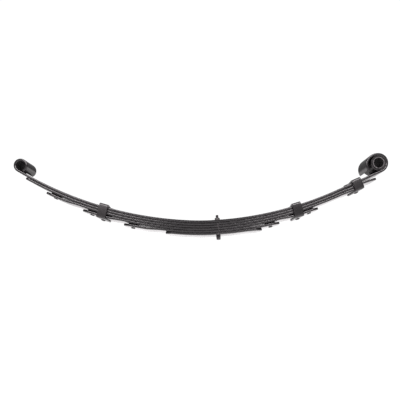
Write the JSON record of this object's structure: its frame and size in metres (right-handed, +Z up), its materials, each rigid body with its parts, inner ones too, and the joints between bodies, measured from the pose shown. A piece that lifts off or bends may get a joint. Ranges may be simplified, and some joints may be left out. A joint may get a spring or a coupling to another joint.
{
  "type": "leaf spring",
  "caption": "Semi-elliptic automotive leaf spring with graduated leaves, upturned eyes, one with a rubber bush, rebound clips, tip liners and a centre bolt that locates it on an axle.",
  "frame": {"origin": "centre of the centre bolt's head face, which sits in the axle's spring seat", "axes": "+X along the spring to the front, bushed eye; +Y across the leaves; +Z up, from the short leaf to the main leaf"},
  "size_m": [1.2477, 0.0708, 0.313],
  "materials": {
    "leaf_paint": "satin",
    "clip_paint": "satin",
    "fastener_paint": "satin",
    "liner_plastic": "matte",
    "bush_steel": "satin",
    "bush_rubber": "matte"
  },
  "bodies": {
    "root": {"main_leaf": "leaf_paint", "second_leaf": "leaf_paint", "third_leaf": "leaf_paint", "fourth_leaf": "leaf_paint", "fifth_leaf": "leaf_paint", "sixth_leaf": "leaf_paint", "centre_bolt": "fastener_paint", "centre_bolt_nut": "fastener_paint"},
    "front_half": {"front_clip": "clip_paint", "front_clip_rivet": "fastener_paint", "front_eye_clip": "clip_paint", "front_eye_clip_rivet": "fastener_paint", "fourth_leaf_front_liner": "liner_plastic", "fifth_leaf_front_liner": "liner_plastic", "bush_shell": "bush_steel", "bush_rubber": "bush_rubber"},
    "rear_half": {"rear_clip": "clip_paint", "rear_clip_rivet": "fastener_paint", "third_leaf_rear_liner": "liner_plastic", "fourth_leaf_rear_liner": "liner_plastic", "fifth_leaf_rear_liner": "liner_plastic"},
    "bush_inner": {"bush_sleeve": "bush_steel"}
  },
  "joints": [
    {"name": "front_half_flex", "type": "hinge", "parent": "root", "child": "front_half", "pos_m": [0.1799, 0, 0.0734], "axis": [0, 1, 0], "range_deg": [-3, 23], "stiffness_Nm_per_rad": 5900, "deforming": ["main_leaf", "second_leaf", "third_leaf", "fourth_leaf", "fifth_leaf", "sixth_leaf"]},
    {"name": "rear_half_flex", "type": "hinge", "parent": "root", "child": "rear_half", "pos_m": [-0.21107, 0, 0.0836], "axis": [0, -1, 0], "range_deg": [-3, 27], "stiffness_Nm_per_rad": 5000, "deforming": ["main_leaf", "second_leaf", "third_leaf", "fourth_leaf", "fifth_leaf", "sixth_leaf"]},
    {"name": "eye_bush_twist", "type": "hinge", "parent": "front_half", "child": "bush_inner", "pos_m": [0.54838, 0, 0.21518], "axis": [0, 1, 0], "range_deg": [-25, 25], "stiffness_Nm_per_rad": 86}
  ]
}
